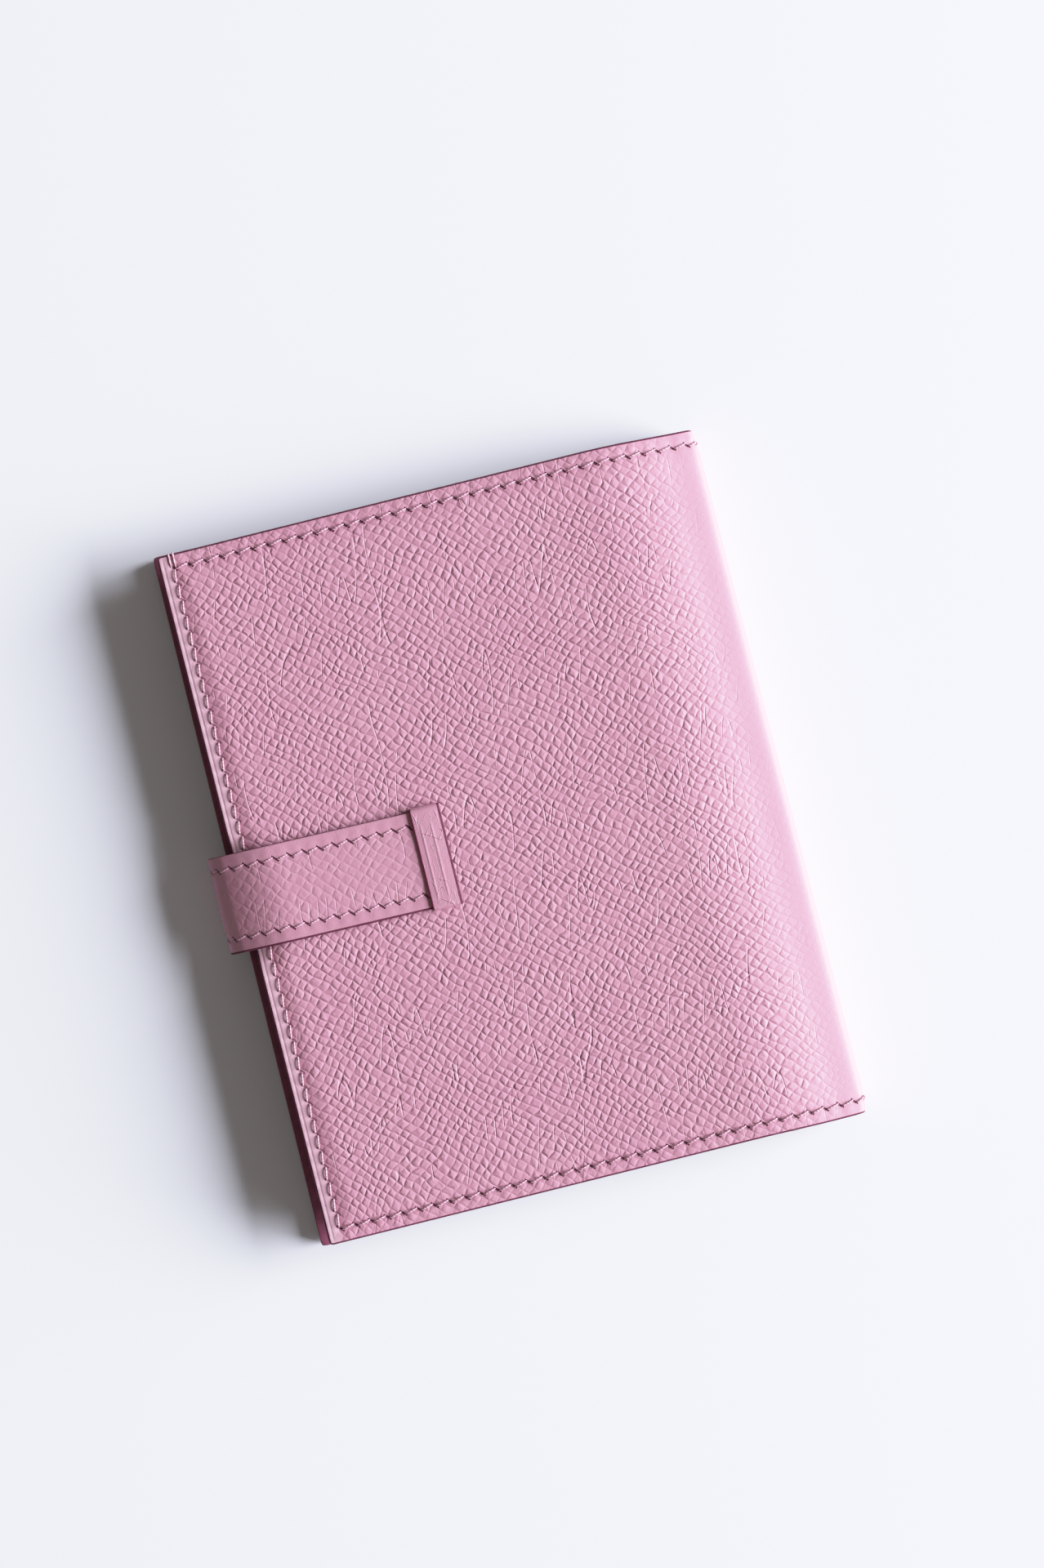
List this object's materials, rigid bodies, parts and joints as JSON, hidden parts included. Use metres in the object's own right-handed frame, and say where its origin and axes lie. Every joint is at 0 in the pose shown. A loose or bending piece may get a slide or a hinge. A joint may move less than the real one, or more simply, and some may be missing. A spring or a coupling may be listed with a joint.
{
  "type": "passport holder",
  "caption": "Leather passport holder with a folding spine, an inner sleeve, card pockets, and a strap that tucks under a narrow keeper loop.",
  "frame": {"origin": "on the table under the middle of the closed holder", "axes": "+X towards the spine, +Y up the cover, +Z out of the front cover"},
  "size_m": [0.1121, 0.136, 0.0141],
  "materials": {
    "grained_leather": "pebble-grained calf, satin",
    "keeper_leather": "smooth creased calf, satin",
    "lining_leather": "smooth calf, low sheen",
    "leather_board": "bonded leather board, matt",
    "thread": "waxed linen thread"
  },
  "bodies": {
    "back_cover": {"back_outer": "grained_leather", "back_board": "leather_board", "back_lining": "lining_leather", "passport_sleeve": "lining_leather", "back_stitching": "thread", "strap_root": "grained_leather", "strap_lining_root": "lining_leather"},
    "spine": {"spine_outer": "grained_leather", "spine_lining": "lining_leather", "spine_stitching": "thread"},
    "front_cover": {"front_outer": "grained_leather", "front_board": "leather_board", "front_lining": "lining_leather", "card_pocket_rear": "lining_leather", "card_pocket_middle": "lining_leather", "card_pocket_front": "lining_leather", "keeper": "keeper_leather", "front_stitching": "thread", "pocket_stitching": "thread"},
    "strap_bend": {"strap_bend": "grained_leather", "strap_lining_bend": "lining_leather", "strap_bend_stitching": "thread"},
    "strap_tip": {"strap_tip": "grained_leather", "strap_lining_tip": "lining_leather", "strap_tip_stitching": "thread"}
  },
  "joints": [
    {"name": "spine_fold", "type": "hinge", "parent": "back_cover", "child": "spine", "pos_m": [0.05414, 0, 0.00176], "axis": [0, 1, 0], "range_deg": [0, 89]},
    {"name": "front_cover_open", "type": "hinge", "parent": "spine", "child": "front_cover", "pos_m": [0.05414, 0, 0.01004], "axis": [0, 1, 0], "range_deg": [0, 89]},
    {"name": "strap_unwrap", "type": "hinge", "parent": "back_cover", "child": "strap_bend", "pos_m": [-0.05498, 0, 0.00212], "axis": [0, -1, 0], "range_deg": [0, 90], "deforming": ["strap_bend", "strap_lining_bend", "strap_bend_stitching"]},
    {"name": "strap_tip_lift", "type": "hinge", "parent": "strap_bend", "child": "strap_tip", "pos_m": [-0.05498, 0, 0.01228], "axis": [0, -1, 0], "range_deg": [0, 90], "deforming": ["strap_tip", "strap_lining_tip", "strap_tip_stitching"]}
  ],
  "couplings": [
    {"joint": "spine_fold", "follows": "front_cover_open", "ratio": 1},
    {"joint": "strap_unwrap", "follows": "strap_tip_lift", "ratio": 1}
  ]
}
